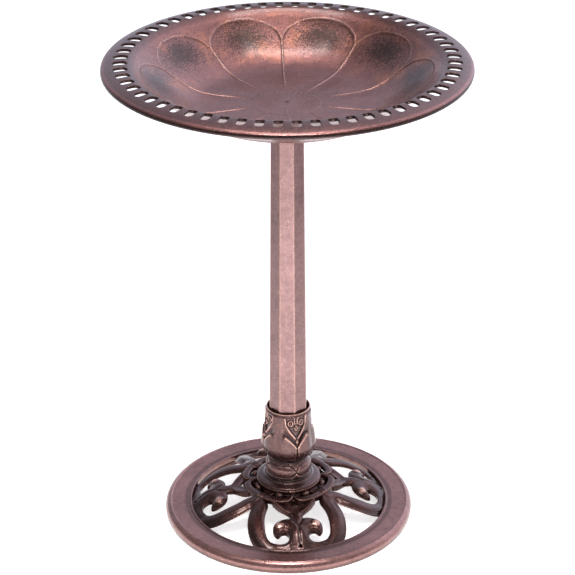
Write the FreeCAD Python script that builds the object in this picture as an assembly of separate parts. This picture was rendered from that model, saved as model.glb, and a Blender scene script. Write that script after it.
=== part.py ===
"""Pedestal bird bath: a slotted bowl on an eight-sided pole, a leaf collar and a pierced scrollwork base.

Millimetres, +Z up. The origin is the middle of the base's underside. The base's four scroll motifs point
along +X, -X, +Y and -Y, and "front" is -Y.
"""
import FreeCAD, Part
import math
import os

os.makedirs("parts", exist_ok=True)

Vector = FreeCAD.Vector
UP = Vector(0, 0, 1)

# ---- overall ----
HEIGHT = 711.0
BOWL_RADIUS = 254.0
BASE_RADIUS = 183.0
MOTIF_COUNT = 4

# ---- base ring: a channel section, open below and ribbed ----
RING_TOP = 16.0
RING_INNER_RADIUS = 144.0
RING_BEAD_RADIUS = 149.0
RING_SHOULDER_RADIUS = 176.0
RING_FOOT_RADIUS = 182.0
RING_WALL = 3.0
RING_RIB_COUNT = 24
RING_RIB_THICKNESS = 2.0

# ---- domed scrollwork ----
DOME_TOP = [(28.0, 57.0), (45.0, 55.0), (69.0, 50.0), (90.0, 44.0), (110.0, 36.0), (130.0, 24.0),
            (150.0, 10.0)]
DOME_THICKNESS = 9.0
CROWN_RADIUS = 69.0
CROWN_HUB_RADIUS = 47.0
CROWN_BORE_RADIUS = 15.5
CROWN_POCKET_COUNT = 8
CROWN_POCKET_INNER = 48.7
CROWN_POCKET_OUTER = 58.5
CROWN_POCKET_SPAN = 19.0
CROWN_POCKET_FLOOR = 42.5
CROWN_FLOOR_THICKNESS = 3.0
CROWN_FLOOR_RADIUS = 62.0
CROWN_BEAD_RADIUS = 4.0
CROWN_BEAD_CIRCLE = 51.6
CROWN_BEAD_HEIGHT = 47.5
DIAMOND_TIP_INNER = 58.0
DIAMOND_MIDDLE = 67.0
DIAMOND_TIP_OUTER = 74.0
DIAMOND_HALF_WIDTH = 9.5
TRIANGLE_TIP = 136.5
TRIANGLE_BACK = 141.0
TRIANGLE_HALF_WIDTH = 3.0
CUTTER_HEIGHT = 100.0

# Outlines of one motif that points along +X, as (along, across), on its +Y side.
WINDOW = [(64.5, 31.0), (67.0, 38.0), (73.0, 41.3), (80.0, 44.0), (97.0, 47.0), (113.0, 46.4),
          (124.0, 40.5), (129.3, 28.5), (127.0, 17.0), (122.5, 15.0), (118.0, 16.2), (115.3, 22.0),
          (118.7, 29.5), (114.0, 36.8), (108.0, 38.0), (101.5, 36.2), (93.0, 24.5), (92.0, 12.0),
          (89.0, 9.0), (83.5, 11.5), (74.5, 21.4)]
ARM_OUTSIDE = [(63.5, 63.5), (70.0, 66.2), (80.0, 69.5), (98.0, 72.0), (114.0, 70.0), (129.0, 63.0),
               (137.0, 57.0)]

# ---- collar: a turned cup with a flange, standing on the crown ----
COLLAR_FOOT = 53.5
FLANGE_RADIUS = 46.8
CUP_FLOOR = 103.0
CUP_TOP = 174.0
CUP_INNER_RADIUS = 30.4
COLLAR_BULGE_RADIUS = 37.5
COLLAR_WAIST_RADIUS = 28.6
COLLAR_WAIST_HEIGHT = 92.0

# ---- fits between the pole's ends and what they turn in ----
SPIGOT_RADIUS = 15.0
FIT_CLEARANCE = 0.05
WASHER_CLEARANCE = 0.4
SPIGOT_CHAMFER = 2.0
WASHER_THICKNESS = 2.0
LOWER_WASHER_RADIUS = 27.0
UPPER_WASHER_RADIUS = 22.0

# ---- bowl ----
BASIN_FLOOR = 648.5
BASIN_UNDERSIDE = 644.5
BASIN_FLOOR_RADIUS = 137.0
RIM_CREST_RADIUS = 224.0
PAD_RADIUS = 72.0
PAD_UNDERSIDE = 638.5
SLOT_COUNT = 60
SLOT_CENTRE_RADIUS = 227.4
SLOT_LENGTH = 20.0
SLOT_WIDTH = 12.7
SLOT_CORNER = 5.5

# ---- spigot plate under the bowl ----
PLATE_THICKNESS = 5.0
PLATE_TOP = PAD_UNDERSIDE
PLATE_UNDERSIDE = PLATE_TOP - PLATE_THICKNESS
PLATE_RADIUS = 64.0
UPPER_SPIGOT_LENGTH = 36.0

# ---- pole ----
POLE_FOOT = CUP_FLOOR + WASHER_THICKNESS
POLE_HEAD = PLATE_UNDERSIDE - WASHER_THICKNESS
POLE_FLATS_AT_FOOT = 54.6
POLE_FLATS_AT_HEAD = 45.3
POLE_WALL = 3.0
POLE_SIDES = 8
TOP_PLUG_DEPTH = 38.0
BOTTOM_PLUG_DEPTH = 22.0
LOWER_SPIGOT_LENGTH = 50.0

# ---- screws ----
SCREW_COUNT = 4
SCREW_RADIUS = 2.5
SCREW_HEAD_RADIUS = 5.0
SCREW_HEAD_HEIGHT = 3.0
SCREW_CLEARANCE_RADIUS = 2.8
PLATE_SCREW_CIRCLE = 48.0
PLATE_SCREW_BITE = 5.0
COLLAR_SCREW_CIRCLE = 40.0
COLLAR_SCREW_BITE = 4.0
CROWN_WEB_UNDERSIDE = 46.0

# ---- how far each piece is turned about +Z from the base, in degrees ----
POLE_TURN = -10.1
BOWL_TURN = -7.1


def pt(radius, height):
    """A point of a turned profile, in the XZ plane."""
    return Vector(radius, 0, height)


def turned(edges):
    """A solid of revolution about Z from a closed run of edges in the XZ plane."""
    return Part.Face(Part.Wire(edges)).revolve(Vector(0, 0, 0), UP, 360)


def spline_edge(points):
    """One smooth edge through the points."""
    curve = Part.BSplineCurve()
    curve.interpolate(points)
    return curve.toShape()


def run_of_lines(points):
    """Straight edges from each point to the next."""
    return [Part.LineSegment(a, b).toShape() for a, b in zip(points, points[1:])]


def polar(radius, degrees, height=0.0):
    """A point at a radius and an angle from +X."""
    angle = math.radians(degrees)
    return Vector(radius * math.cos(angle), radius * math.sin(angle), height)


def turned_copy(shape, degrees):
    """A copy of the shape turned about Z."""
    copy = shape.copy()
    copy.rotate(Vector(0, 0, 0), UP, degrees)
    return copy


def spread(shape, count, first=0.0):
    """Copies of the shape evenly spread round Z."""
    return [turned_copy(shape, first + index * 360.0 / count) for index in range(count)]


def tube(outer, inner, bottom, top):
    """A straight round tube standing on Z."""
    height = top - bottom
    foot = Vector(0, 0, bottom)
    return Part.makeCylinder(outer, height, foot).cut(Part.makeCylinder(inner, height, foot))


def save(shape, node):
    """Write one node, checked to be sound solids with no stray faces."""
    clean = shape.removeSplitter()
    if not clean.isValid() or not clean.Solids:
        raise ValueError(node + " isn't a sound solid")
    solid = clean.Solids[0] if len(clean.Solids) == 1 else Part.makeCompound(clean.Solids)
    solid.exportStep("parts/" + node + ".step")
    print(node, len(clean.Solids), "solid(s)", round(clean.Volume), "mm3")


# ---------------------------------------------------------------- bowl

def bowl_profile():
    """The bowl's section from the middle of the basin out over the rim and back along the underside."""
    basin = spline_edge([pt(110, BASIN_FLOOR + 1), pt(130, 653), pt(150, 662), pt(170, 675), pt(190, 690),
                         pt(203, 701), pt(213, 708), pt(RIM_CREST_RADIUS, HEIGHT)])
    rim = spline_edge([pt(RIM_CREST_RADIUS, HEIGHT), pt(238, 709.5), pt(249, 706.5), pt(BOWL_RADIUS, 702.5)])
    lip = run_of_lines([pt(BOWL_RADIUS, 702.5), pt(BOWL_RADIUS - 0.5, 698), pt(BOWL_RADIUS - 3, 698)])
    under_rim = spline_edge([pt(BOWL_RADIUS - 3, 698), pt(249, 701.5), pt(238, 705.3), pt(224, 706.8),
                             pt(214, 703.5), pt(203, 696)])
    outer_wall = spline_edge([pt(203, 696), pt(190, 684.5), pt(170, 669), pt(152, 656), pt(141, 648.5)])
    foot = Part.Arc(pt(141, 648.5), pt(BASIN_FLOOR_RADIUS + 1, 645.7), pt(BASIN_FLOOR_RADIUS - 3,
                    BASIN_UNDERSIDE)).toShape()
    underside = run_of_lines([pt(BASIN_FLOOR_RADIUS - 3, BASIN_UNDERSIDE), pt(PAD_RADIUS, BASIN_UNDERSIDE),
                              pt(PAD_RADIUS, PAD_UNDERSIDE), pt(0, PAD_UNDERSIDE), pt(0, BASIN_FLOOR),
                              pt(110, BASIN_FLOOR + 1)])
    return [basin, rim] + lip + [under_rim, outer_wall, foot] + underside


def rim_slot():
    """The cutter for one slot: a rounded rectangle, long way along the radius, on +X."""
    cutter_foot = BASIN_UNDERSIDE
    cutter = Part.makeBox(SLOT_LENGTH, SLOT_WIDTH, HEIGHT - cutter_foot + 5,
                          Vector(SLOT_CENTRE_RADIUS - SLOT_LENGTH / 2, -SLOT_WIDTH / 2, cutter_foot))
    upright = [edge for edge in cutter.Edges if edge.BoundBox.ZLength > 1]
    return cutter.makeFillet(SLOT_CORNER, upright)


def bowl():
    """The basin and its slotted rim, with a screw pad below and four blind screw holes in the pad."""
    body = turned(bowl_profile())
    slot_pitch = 360.0 / SLOT_COUNT
    slots = spread(rim_slot(), SLOT_COUNT, BOWL_TURN + slot_pitch / 2)
    holes = spread(plate_screw_hole(), SCREW_COUNT, 45.0)
    return body.cut(slots + holes)


def plate_screw_hole():
    """The space one plate screw's thread takes in the bowl's pad."""
    return Part.makeCylinder(SCREW_RADIUS, PLATE_SCREW_BITE, Vector(PLATE_SCREW_CIRCLE, 0, PLATE_TOP))


# ---------------------------------------------------------------- spigot plate

def spigot_plate():
    """A round plate under the bowl with a peg below it that turns in the pole's head."""
    plate = Part.makeCylinder(PLATE_RADIUS, PLATE_THICKNESS, Vector(0, 0, PLATE_UNDERSIDE))
    peg_foot = PLATE_UNDERSIDE - UPPER_SPIGOT_LENGTH
    hole = Part.makeCylinder(SCREW_CLEARANCE_RADIUS, PLATE_THICKNESS,
                             Vector(PLATE_SCREW_CIRCLE, 0, PLATE_UNDERSIDE))
    body = plate.fuse(spigot(peg_foot, PLATE_TOP, peg_foot))
    return body.cut(spread(hole, SCREW_COUNT, 45.0))


def pan_screw(circle, seat, shank_top):
    """A pan-head screw pointing up, with its head's upper face on the seat."""
    head_foot = Vector(circle, 0, seat - SCREW_HEAD_HEIGHT)
    head = Part.makeCylinder(SCREW_HEAD_RADIUS, SCREW_HEAD_HEIGHT, head_foot)
    head = head.makeFillet(1.2, [edge for edge in head.Edges if edge.BoundBox.ZMax < seat - 1])
    slot_length = 6.0
    slot_width = 1.2
    slot_depth = 1.4
    cross = [Part.makeBox(slot_length, slot_width, slot_depth,
                          head_foot - Vector(slot_length / 2, slot_width / 2, 0)),
             Part.makeBox(slot_width, slot_length, slot_depth,
                          head_foot - Vector(slot_width / 2, slot_length / 2, 0))]
    shank = Part.makeCylinder(SCREW_RADIUS, shank_top - seat, Vector(circle, 0, seat))
    return head.cut(cross).fuse(shank).removeSplitter()


def plate_screws():
    """The four screws that hold the spigot plate to the bowl."""
    screw = pan_screw(PLATE_SCREW_CIRCLE, PLATE_UNDERSIDE, PLATE_TOP + PLATE_SCREW_BITE)
    return Part.makeCompound(spread(screw, SCREW_COUNT, 45.0))


# ---------------------------------------------------------------- pole and its ends

def pole_flats(height):
    """The pole's width across its flats at a height."""
    share = (height - POLE_FOOT) / (POLE_HEAD - POLE_FOOT)
    return POLE_FLATS_AT_FOOT + share * (POLE_FLATS_AT_HEAD - POLE_FLATS_AT_FOOT)


def pole_section(height, inset):
    """The pole's eight-sided outline at a height, moved in by an inset, with a flat facing -Y."""
    corner = (pole_flats(height) / 2 - inset) / math.cos(math.pi / POLE_SIDES)
    step = 360.0 / POLE_SIDES
    corners = [polar(corner, POLE_TURN - 90 + step / 2 + index * step, height) for index in range(POLE_SIDES)]
    return Part.makePolygon(corners + corners[:1])


def pole_prism(bottom, top, inset):
    """A tapered eight-sided solid between two heights."""
    return Part.makeLoft([pole_section(bottom, inset), pole_section(top, inset)], True, True)


def pole():
    """The hollow pole."""
    return pole_prism(POLE_FOOT, POLE_HEAD, 0).cut(pole_prism(POLE_FOOT, POLE_HEAD, POLE_WALL))


def spigot(bottom, top, free_end):
    """A round peg with its free end chamfered."""
    peg = Part.makeCylinder(SPIGOT_RADIUS, top - bottom, Vector(0, 0, bottom))
    rim = [edge for edge in peg.Edges
           if abs(edge.BoundBox.ZMin - free_end) < 0.01 and abs(edge.BoundBox.ZMax - free_end) < 0.01]
    return peg.makeChamfer(SPIGOT_CHAMFER, rim)


def pole_top_plug():
    """The sleeve in the pole's head, with the bore that the bowl's spigot turns in."""
    sleeve_foot = POLE_HEAD - TOP_PLUG_DEPTH
    bore = Part.makeCylinder(SPIGOT_RADIUS + FIT_CLEARANCE, TOP_PLUG_DEPTH, Vector(0, 0, sleeve_foot))
    return pole_prism(sleeve_foot, POLE_HEAD, POLE_WALL).cut(bore)


def pole_bottom_plug():
    """The stopper in the pole's foot, with the spigot that stands in the collar."""
    stopper_top = POLE_FOOT + BOTTOM_PLUG_DEPTH
    peg_foot = POLE_FOOT - LOWER_SPIGOT_LENGTH
    stopper = pole_prism(POLE_FOOT, stopper_top, POLE_WALL)
    return stopper.fuse(spigot(peg_foot, stopper_top, peg_foot)).removeSplitter()


def washer(outer, bottom):
    """A plain flat washer round a spigot."""
    return tube(outer, SPIGOT_RADIUS + WASHER_CLEARANCE, bottom, bottom + WASHER_THICKNESS)


# ---------------------------------------------------------------- collar

def collar():
    """The cup round the pole's foot: a lip, an egg-shaped bulge, a waist, a lower bulge and a flange."""
    cup_side = spline_edge([pt(33.3, 169), pt(32.9, 162), pt(33.2, 153), pt(34.6, 139), pt(36.2, 127),
                            pt(COLLAR_BULGE_RADIUS, 115), pt(36.6, 106.5), pt(33.6, 98.5),
                            pt(COLLAR_WAIST_RADIUS, COLLAR_WAIST_HEIGHT)])
    lower_side = spline_edge([pt(COLLAR_WAIST_RADIUS, COLLAR_WAIST_HEIGHT), pt(30.2, 86.5), pt(32.9, 79),
                              pt(33.6, 71.5), pt(32.4, 62)])
    flange = run_of_lines([pt(32.4, 62), pt(36.5, 61.2), pt(38, 59.6), pt(FLANGE_RADIUS - 1.2, 57),
                           pt(FLANGE_RADIUS, 55.8), pt(FLANGE_RADIUS, COLLAR_FOOT),
                           pt(SPIGOT_RADIUS + FIT_CLEARANCE, COLLAR_FOOT),
                           pt(SPIGOT_RADIUS + FIT_CLEARANCE, CUP_FLOOR), pt(CUP_INNER_RADIUS - 2, CUP_FLOOR),
                           pt(CUP_INNER_RADIUS, CUP_FLOOR + 2), pt(CUP_INNER_RADIUS, CUP_TOP - 1)])
    lip = [Part.Arc(pt(CUP_INNER_RADIUS, CUP_TOP - 1), pt(CUP_INNER_RADIUS + 0.9, CUP_TOP),
                    pt(32.2, CUP_TOP - 1.4)).toShape()]
    lip += run_of_lines([pt(32.2, CUP_TOP - 1.4), pt(32.1, 171.2), pt(33.3, 169)])
    body = turned([cup_side, lower_side] + flange + lip)
    hole = Part.makeCylinder(SCREW_RADIUS, COLLAR_SCREW_BITE, Vector(COLLAR_SCREW_CIRCLE, 0, COLLAR_FOOT))
    return body.cut(spread(hole, SCREW_COUNT, 45.0))


def collar_screws():
    """The four screws that come up through the crown's web into the collar's flange."""
    screw = pan_screw(COLLAR_SCREW_CIRCLE, CROWN_WEB_UNDERSIDE, COLLAR_FOOT + COLLAR_SCREW_BITE)
    return Part.makeCompound(spread(screw, SCREW_COUNT, 45.0))


# ---------------------------------------------------------------- domed scrollwork

def dome_shell():
    """The domed sheet, level thickness measured upright, that all the scrollwork is cut from."""
    top = spline_edge([pt(radius, height) for radius, height in DOME_TOP])
    below = spline_edge([pt(radius, height - DOME_THICKNESS) for radius, height in reversed(DOME_TOP)])
    inner = DOME_TOP[0]
    outer = DOME_TOP[-1]
    outer_side = run_of_lines([pt(outer[0], outer[1]), pt(outer[0], outer[1] - DOME_THICKNESS)])
    inner_side = run_of_lines([pt(inner[0], inner[1] - DOME_THICKNESS), pt(inner[0], inner[1])])
    return turned([top] + outer_side + [below] + inner_side)


def flat(outline):
    """The points of a plan outline."""
    return [Vector(along, across, 0) for along, across in outline]


def window():
    """The cutter for the opening between an arm and the scroll on its side."""
    curve = Part.BSplineCurve()
    curve.interpolate(Points=flat(WINDOW), PeriodicFlag=True)
    return Part.Face(Part.Wire(curve.toShape())).extrude(UP * CUTTER_HEIGHT)


def motif_plan():
    """One whole motif in plan, out past the ring, with its arms' bowed outer sides."""
    one_side = flat(ARM_OUTSIDE)
    other_side = [Vector(point.x, -point.y, 0) for point in reversed(one_side)]
    half_width = one_side[-1].y
    ends = [one_side[-1], Vector(RING_BEAD_RADIUS, half_width, 0), Vector(RING_BEAD_RADIUS, -half_width, 0),
            other_side[0]]
    middle = [other_side[-1], Vector(0, 0, 0), one_side[0]]
    return Part.Face(Part.Wire([spline_edge(one_side)] + run_of_lines(ends) + [spline_edge(other_side)]
                               + run_of_lines(middle)))


def upright_cutter(outline):
    """A cutter with straight sides over a plan outline."""
    corners = flat(outline)
    return Part.Face(Part.makePolygon(corners + corners[:1])).extrude(UP * CUTTER_HEIGHT)


def diamond_hole():
    """The cutter for the diamond between the crown and the V, on +X."""
    return upright_cutter([(DIAMOND_TIP_INNER, 0), (DIAMOND_MIDDLE, DIAMOND_HALF_WIDTH),
                           (DIAMOND_TIP_OUTER, 0), (DIAMOND_MIDDLE, -DIAMOND_HALF_WIDTH)])


def triangle_hole():
    """The cutter for the small triangle where the two scrolls part at the ring, on +X."""
    return upright_cutter([(TRIANGLE_TIP, 0), (TRIANGLE_BACK, TRIANGLE_HALF_WIDTH),
                           (TRIANGLE_BACK, -TRIANGLE_HALF_WIDTH)])


def scroll_motif():
    """One motif on +X, domed, between the crown and the ring."""
    plate = motif_plan().extrude(UP * CUTTER_HEIGHT)
    plate = plate.common(Part.makeCylinder(RING_INNER_RADIUS, CUTTER_HEIGHT))
    one_window = window()
    other_window = one_window.mirror(Vector(0, 0, 0), Vector(0, 1, 0))
    core = Part.makeCylinder(CROWN_RADIUS, CUTTER_HEIGHT)
    cutters = [core, one_window, other_window, diamond_hole(), triangle_hole()]
    return plate.cut(cutters).common(dome_shell())


def crown_pocket():
    """The cutter for one bean-shaped pocket of the crown, centred on +X."""
    middle = (CROWN_POCKET_INNER + CROWN_POCKET_OUTER) / 2
    end_radius = (CROWN_POCKET_OUTER - CROWN_POCKET_INNER) / 2
    foot = Vector(0, 0, CROWN_POCKET_FLOOR)
    band = Part.makeCylinder(CROWN_POCKET_OUTER, CUTTER_HEIGHT, foot, UP, CROWN_POCKET_SPAN)
    band = band.cut(Part.makeCylinder(CROWN_POCKET_INNER, CUTTER_HEIGHT, foot))
    band.rotate(Vector(0, 0, 0), UP, -CROWN_POCKET_SPAN / 2)
    end_places = [foot + polar(middle, side * CROWN_POCKET_SPAN / 2) for side in (-1, 1)]
    return band.fuse([Part.makeCylinder(end_radius, CUTTER_HEIGHT, place) for place in end_places])


def crown_bead():
    """One bead standing on the floor of a pocket, on +X."""
    post = Part.makeCylinder(CROWN_BEAD_RADIUS, CROWN_BEAD_HEIGHT - CROWN_POCKET_FLOOR + 1,
                             Vector(CROWN_BEAD_CIRCLE, 0, CROWN_POCKET_FLOOR - 1))
    return post.fuse(Part.makeSphere(CROWN_BEAD_RADIUS, Vector(CROWN_BEAD_CIRCLE, 0, CROWN_BEAD_HEIGHT)))


def hub_crown():
    """The crown with its beaded pockets, and the flat web and central boss that the collar is screwed to."""
    disc = Part.makeCylinder(CROWN_RADIUS, CUTTER_HEIGHT).common(dome_shell())
    seat = Part.makeCylinder(CROWN_HUB_RADIUS, CUTTER_HEIGHT, Vector(0, 0, COLLAR_FOOT))
    disc = disc.cut(seat)
    web_thickness = COLLAR_FOOT - CROWN_WEB_UNDERSIDE
    web = Part.makeCylinder(CROWN_HUB_RADIUS, web_thickness, Vector(0, 0, CROWN_WEB_UNDERSIDE))
    boss_outer = CROWN_BORE_RADIUS + 4.0
    boss_depth = 14.0
    boss = Part.makeCylinder(boss_outer, boss_depth, Vector(0, 0, CROWN_WEB_UNDERSIDE - boss_depth))
    floor_foot = CROWN_POCKET_FLOOR - CROWN_FLOOR_THICKNESS
    pocket_floor = tube(CROWN_FLOOR_RADIUS, CROWN_HUB_RADIUS - 2, floor_foot, CROWN_WEB_UNDERSIDE)
    recess = tube(CROWN_HUB_RADIUS - 2, boss_outer, 0, CROWN_WEB_UNDERSIDE)
    bore = Part.makeCylinder(CROWN_BORE_RADIUS, CUTTER_HEIGHT)
    screw = Part.makeCylinder(SCREW_CLEARANCE_RADIUS, CUTTER_HEIGHT, Vector(COLLAR_SCREW_CIRCLE, 0, 0))
    first_pocket = 180.0 / CROWN_POCKET_COUNT
    pockets = spread(crown_pocket(), CROWN_POCKET_COUNT, first_pocket)
    diamonds = spread(diamond_hole(), MOTIF_COUNT)
    crown = disc.fuse([web, boss, pocket_floor])
    crown = crown.cut([recess, bore] + spread(screw, SCREW_COUNT, 45.0) + pockets + diamonds)
    return crown.fuse(spread(crown_bead(), CROWN_POCKET_COUNT, first_pocket))


# ---------------------------------------------------------------- base ring

def base_ring():
    """The outer ring: rolled side, flat top face and a bead at its inner edge, on radial ribs."""
    roll_inside = RING_FOOT_RADIUS - RING_WALL
    hollow_top = RING_TOP - RING_WALL
    outside = spline_edge([pt(RING_SHOULDER_RADIUS, RING_TOP + 1), pt(180.5, 14.8), pt(BASE_RADIUS, 9),
                           pt(182.6, 4), pt(RING_FOOT_RADIUS, 0)])
    foot = run_of_lines([pt(RING_FOOT_RADIUS, 0), pt(roll_inside, 0)])
    hollow = [Part.Arc(pt(roll_inside, 0), pt(BASE_RADIUS - RING_WALL, 8),
                       pt(RING_SHOULDER_RADIUS - 0.5, hollow_top)).toShape()]
    hollow += run_of_lines([pt(RING_SHOULDER_RADIUS - 0.5, hollow_top),
                            pt(RING_INNER_RADIUS + RING_WALL, hollow_top),
                            pt(RING_INNER_RADIUS + RING_WALL, 0), pt(RING_INNER_RADIUS, 0),
                            pt(RING_INNER_RADIUS, RING_TOP - 1)])
    bead = [Part.Arc(pt(RING_INNER_RADIUS, RING_TOP - 1), pt(RING_INNER_RADIUS + 1.6, RING_TOP + 1),
                     pt(RING_INNER_RADIUS + 4, RING_TOP)).toShape()]
    top = run_of_lines([pt(RING_INNER_RADIUS + 4, RING_TOP), pt(RING_BEAD_RADIUS, RING_TOP - 0.6),
                        pt(RING_SHOULDER_RADIUS - 1.5, RING_TOP), pt(RING_SHOULDER_RADIUS, RING_TOP + 1)])
    shell = turned([outside] + foot + hollow + bead + top)
    rib_start = RING_INNER_RADIUS + RING_WALL / 2
    rib_box = Part.makeBox(RING_SHOULDER_RADIUS - rib_start, RING_RIB_THICKNESS, RING_TOP - 3,
                           Vector(rib_start, -RING_RIB_THICKNESS / 2, 1))
    rib_end = Part.makeBox(8, RING_RIB_THICKNESS, 8,
                           Vector(RING_SHOULDER_RADIUS - 4, -RING_RIB_THICKNESS / 2, 1))
    rib = rib_box.fuse(rib_end)
    return shell.fuse(spread(rib, RING_RIB_COUNT, 180.0 / RING_RIB_COUNT))


# ---------------------------------------------------------------- the assembly

MOTIF_PLACES = {"scroll_right": 0, "scroll_back": 90, "scroll_left": 180, "scroll_front": 270}

save(base_ring(), "base_ring")
motif = scroll_motif()
for name, degrees in MOTIF_PLACES.items():
    save(turned_copy(motif, degrees), name)
save(hub_crown(), "hub_crown")
save(collar(), "collar")
save(collar_screws(), "collar_screws")
save(washer(LOWER_WASHER_RADIUS, CUP_FLOOR), "lower_washer")
save(pole(), "pole")
save(pole_top_plug(), "pole_top_plug")
save(pole_bottom_plug(), "pole_bottom_plug")
save(washer(UPPER_WASHER_RADIUS, POLE_HEAD), "upper_washer")
save(spigot_plate(), "spigot_plate")
save(plate_screws(), "plate_screws")
save(bowl(), "bowl")
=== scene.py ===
"""Looks of the pedestal bird bath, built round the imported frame.

Shapes are worked out in millimetres, in the frame's own axes, and become metres only when a mesh is made.
"""
import math

import bpy
import numpy as np
from mathutils import Matrix, Vector


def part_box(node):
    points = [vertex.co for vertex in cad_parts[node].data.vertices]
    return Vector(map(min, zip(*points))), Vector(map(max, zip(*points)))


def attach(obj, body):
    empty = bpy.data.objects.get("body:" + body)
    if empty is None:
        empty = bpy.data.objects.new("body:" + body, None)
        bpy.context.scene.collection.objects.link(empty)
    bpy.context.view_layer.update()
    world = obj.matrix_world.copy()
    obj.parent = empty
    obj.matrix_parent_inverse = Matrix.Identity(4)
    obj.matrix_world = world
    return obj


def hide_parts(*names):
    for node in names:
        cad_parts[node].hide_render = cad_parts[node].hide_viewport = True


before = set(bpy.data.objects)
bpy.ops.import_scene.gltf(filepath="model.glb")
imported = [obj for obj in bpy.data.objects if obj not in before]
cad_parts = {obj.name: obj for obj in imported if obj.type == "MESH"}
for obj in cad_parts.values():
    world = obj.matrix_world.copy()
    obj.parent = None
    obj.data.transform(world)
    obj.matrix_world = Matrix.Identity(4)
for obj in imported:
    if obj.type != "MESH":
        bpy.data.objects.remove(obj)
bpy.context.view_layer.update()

MM = 0.001


# ---------------------------------------------------------------- sizes read from the frame

def box_mm(node):
    """The lowest and highest corners of a CAD node, in millimetres."""
    low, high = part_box(node)
    return np.array(low) / MM, np.array(high) / MM


BOWL_LOW, BOWL_HIGH = box_mm("bowl")
RING_LOW, RING_HIGH = box_mm("base_ring")
COLLAR_LOW, COLLAR_HIGH = box_mm("collar")
POLE_LOW, POLE_HIGH = box_mm("pole")

HEIGHT = BOWL_HIGH[2]
BOWL_RADIUS = BOWL_HIGH[0]
BASE_RADIUS = RING_HIGH[0]
FLANGE_RADIUS = COLLAR_HIGH[0]

# How far each piece is turned about +Z from the base, in degrees. The front is -Y.
POLE_TURN = -10.1
BOWL_TURN = -7.1
COLLAR_TURN = -7.1
VIEW_TURN = -7.1


# ---------------------------------------------------------------- plain geometry helpers

def smooth_line(points, per_span=12):
    """Points along a Catmull-Rom curve through the given points, whatever number each one holds."""
    knots = np.asarray(points, float)
    padded = np.vstack([2 * knots[0] - knots[1], knots, 2 * knots[-1] - knots[-2]])
    t = np.linspace(0, 1, per_span, endpoint=False)[:, None]
    spans = []
    for a, b, c, d in zip(padded, padded[1:], padded[2:], padded[3:]):
        spans.append(0.5 * (2 * b + (c - a) * t + (2 * a - 5 * b + 4 * c - d) * t ** 2
                            + (3 * b - a - 3 * c + d) * t ** 3))
    return np.vstack(spans + [knots[-1:]])


def smoothstep(low, high, value):
    """0 below low, 1 above high and a soft S between."""
    t = np.clip((value - low) / (high - low), 0, 1)
    return t * t * (3 - 2 * t)


def distance_to_line(x, y, line):
    """Distance from each point to a polyline, and the line's further columns at the nearest place."""
    best = np.full(x.shape, np.inf)
    extra = np.zeros(x.shape + (line.shape[1] - 2,))
    for a, b in zip(line, line[1:]):
        run = b[:2] - a[:2]
        t = np.clip(((x - a[0]) * run[0] + (y - a[1]) * run[1]) / max(run @ run, 1e-9), 0, 1)
        gap = np.hypot(x - a[0] - t * run[0], y - a[1] - t * run[1])
        nearer = gap < best
        best = np.where(nearer, gap, best)
        extra = np.where(nearer[..., None], a[2:] + t[..., None] * (b[2:] - a[2:]), extra)
    return best, extra


def turn_about_z(points, degrees):
    """The points turned about +Z."""
    angle = math.radians(degrees)
    c, s = math.cos(angle), math.sin(angle)
    turned = np.array(points, float)
    turned[:, 0] = c * points[:, 0] - s * points[:, 1]
    turned[:, 1] = s * points[:, 0] + c * points[:, 1]
    return turned


# ---------------------------------------------------------------- meshes

def make_object(name, points, face_sets):
    """A smooth-shaded mesh object from points in millimetres and arrays of faces, facing outwards."""
    face_sets = [faces for faces in face_sets if len(faces)]
    volume = 0.0
    for faces in face_sets:
        first = points[faces[:, 0]]
        for k in range(1, faces.shape[1] - 1):
            across = np.cross(points[faces[:, k]], points[faces[:, k + 1]])
            volume += np.einsum("ij,ij->i", first, across).sum()
    if volume < 0:
        face_sets = [faces[:, ::-1] for faces in face_sets]
    corners = np.concatenate([faces.ravel() for faces in face_sets])
    sizes = np.concatenate([np.full(len(faces), faces.shape[1]) for faces in face_sets])
    starts = np.concatenate([[0], np.cumsum(sizes)[:-1]])
    mesh = bpy.data.meshes.new(name)
    mesh.vertices.add(len(points))
    mesh.vertices.foreach_set("co", (np.asarray(points) * MM).astype(np.float32).ravel())
    mesh.loops.add(len(corners))
    mesh.loops.foreach_set("vertex_index", corners.astype(np.int32))
    mesh.polygons.add(len(sizes))
    mesh.polygons.foreach_set("loop_start", starts.astype(np.int32))
    mesh.polygons.foreach_set("use_smooth", np.ones(len(sizes), bool))
    mesh.update(calc_edges=True)
    mesh.validate()
    thing = bpy.data.objects.new(name, mesh)
    bpy.context.scene.collection.objects.link(thing)
    return thing


def set_values(thing, name, values):
    """Store one number per point, for a material to read."""
    layer = thing.data.attributes.new(name, "FLOAT", "POINT")
    layer.data.foreach_set("value", np.asarray(values, np.float32))


def read_points(thing, what="co"):
    """One vector per point of a mesh: its place in metres, or its normal."""
    values = np.empty(len(thing.data.vertices) * 3, np.float32)
    thing.data.vertices.foreach_get(what, values)
    return values.reshape(-1, 3).astype(float)


def neighbour_mean(ends, count):
    """A function that gives each point the mean of its neighbours' values along the given edges."""
    shares = np.maximum(np.bincount(ends.ravel(), minlength=count), 1)[:, None]

    def mean(values):
        total = np.zeros_like(values)
        for column in range(values.shape[1]):
            total[:, column] = (np.bincount(ends[:, 0], values[ends[:, 1], column], count)
                                + np.bincount(ends[:, 1], values[ends[:, 0], column], count))
        return total / shares

    return mean


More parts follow.
